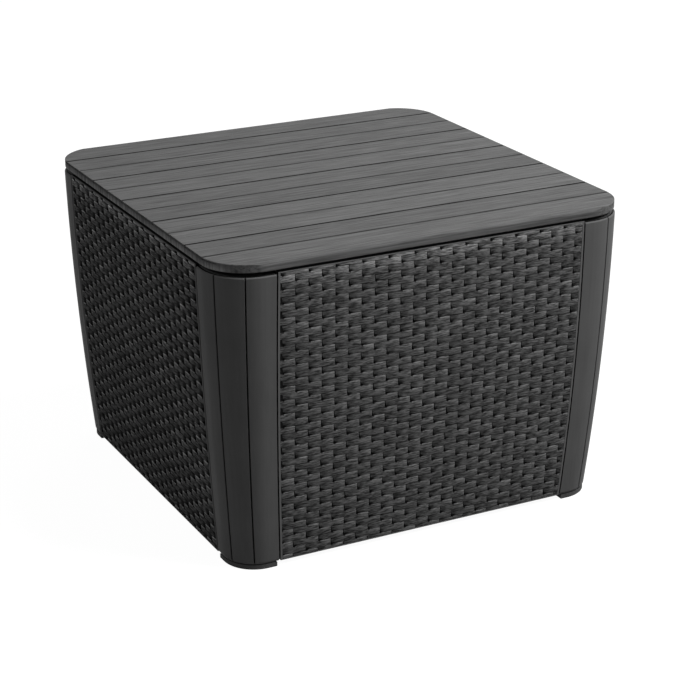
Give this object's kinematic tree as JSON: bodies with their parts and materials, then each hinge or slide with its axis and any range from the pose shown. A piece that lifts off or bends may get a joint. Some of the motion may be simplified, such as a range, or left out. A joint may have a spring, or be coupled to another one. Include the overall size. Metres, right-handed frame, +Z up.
{
  "type": "storage table",
  "caption": "Square resin garden table with tapered woven-look sides, ribbed corner posts and a hinged plank-look lid over a storage space.",
  "frame": {"origin": "on the ground under the middle of the table", "axes": "+X along the planks, -Y the front, +Z up"},
  "size_m": [0.59, 0.59, 0.42],
  "materials": {
    "plank_plastic": "matt anthracite resin with moulded wood grain",
    "lid_frame_plastic": "plain matt anthracite resin",
    "post_plastic": "satin anthracite resin",
    "weave_plastic": "matt anthracite resin moulded as flat weave",
    "inner_plastic": "plain matt anthracite resin",
    "foot_plastic": "matt dark resin",
    "hinge_plastic": "satin dark resin",
    "pin_steel": "plain drawn steel",
    "screw_steel": "zinc-plated steel"
  },
  "bodies": {
    "cabinet": {"corner_post_front_left": "post_plastic", "corner_post_front_right": "post_plastic", "corner_post_back_left": "post_plastic", "corner_post_back_right": "post_plastic", "inner_cover_front_left": "inner_plastic", "inner_cover_front_right": "inner_plastic", "inner_cover_back_left": "inner_plastic", "inner_cover_back_right": "inner_plastic", "foot_front_left": "foot_plastic", "foot_front_right": "foot_plastic", "foot_back_left": "foot_plastic", "foot_back_right": "foot_plastic", "front_panel": "weave_plastic", "back_panel": "weave_plastic", "left_panel": "weave_plastic", "right_panel": "weave_plastic", "floor_panel": "inner_plastic", "post_screws": "screw_steel", "hinge_bracket_left": "hinge_plastic", "hinge_pin_left": "pin_steel", "hinge_bracket_right": "hinge_plastic", "hinge_pin_right": "pin_steel", "bracket_screws": "screw_steel"},
    "lid": {"lid_deck": "plank_plastic", "lid_frame": "lid_frame_plastic", "hinge_leaf_left": "hinge_plastic", "hinge_leaf_right": "hinge_plastic", "leaf_screws": "screw_steel"}
  },
  "joints": [
    {"name": "lid_hinge", "type": "hinge", "parent": "cabinet", "child": "lid", "pos_m": [0, 0.29, 0.4025], "axis": [-1, 0, 0], "range_deg": [0, 105]}
  ]
}
